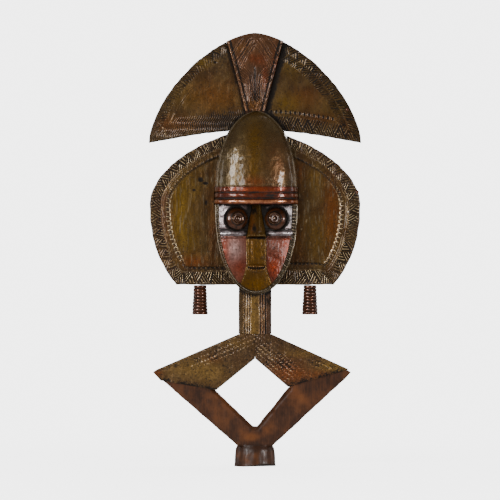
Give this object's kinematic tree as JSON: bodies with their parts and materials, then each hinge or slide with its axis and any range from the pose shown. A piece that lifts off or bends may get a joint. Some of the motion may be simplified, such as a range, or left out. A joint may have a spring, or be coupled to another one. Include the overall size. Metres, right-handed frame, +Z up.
{
  "type": "kota reliquary figure",
  "caption": "Standing Kota guardian figure: crescent crest, curved side wings, domed forehead over a hollow mask face, ringed ear pendants, neck, open lozenge and short foot.",
  "frame": {"origin": "on the ground, under the middle of the foot", "axes": "+Z up the figure, -Y the way it looks, +X to the viewer's right"},
  "size_m": [0.298, 0.065, 0.6065],
  "materials": {
    "dark_wood": "old, dark and hand-polished, with a reddish tone",
    "brass_sheet": "beaten brass sheet with an olive-brown patina",
    "copper_sheet": "beaten copper sheet, reddish and worn bright on its high places",
    "dark_copper": "dark brown copper",
    "grey_metal": "pale grey metal sheet with a violet tarnish"
  },
  "bodies": {
    "root": {"wood_core": "dark_wood", "crest_centre_strip": "copper_sheet", "forehead_sheet": "brass_sheet", "brow_band": "copper_sheet", "face_rim": "brass_sheet", "face_centre_sheet": "brass_sheet", "neck_sheet": "brass_sheet", "crest_sheet_left": "brass_sheet", "wing_sheet_left": "brass_sheet", "eye_plate_left": "grey_metal", "eye_disc_left": "dark_copper", "cheek_sheet_left": "copper_sheet", "shoulder_sheet_left": "brass_sheet", "ear_pendant_left": "dark_copper", "crest_sheet_right": "brass_sheet", "wing_sheet_right": "brass_sheet", "eye_plate_right": "grey_metal", "eye_disc_right": "dark_copper", "cheek_sheet_right": "copper_sheet", "shoulder_sheet_right": "brass_sheet", "ear_pendant_right": "dark_copper"}
  },
  "joints": []
}
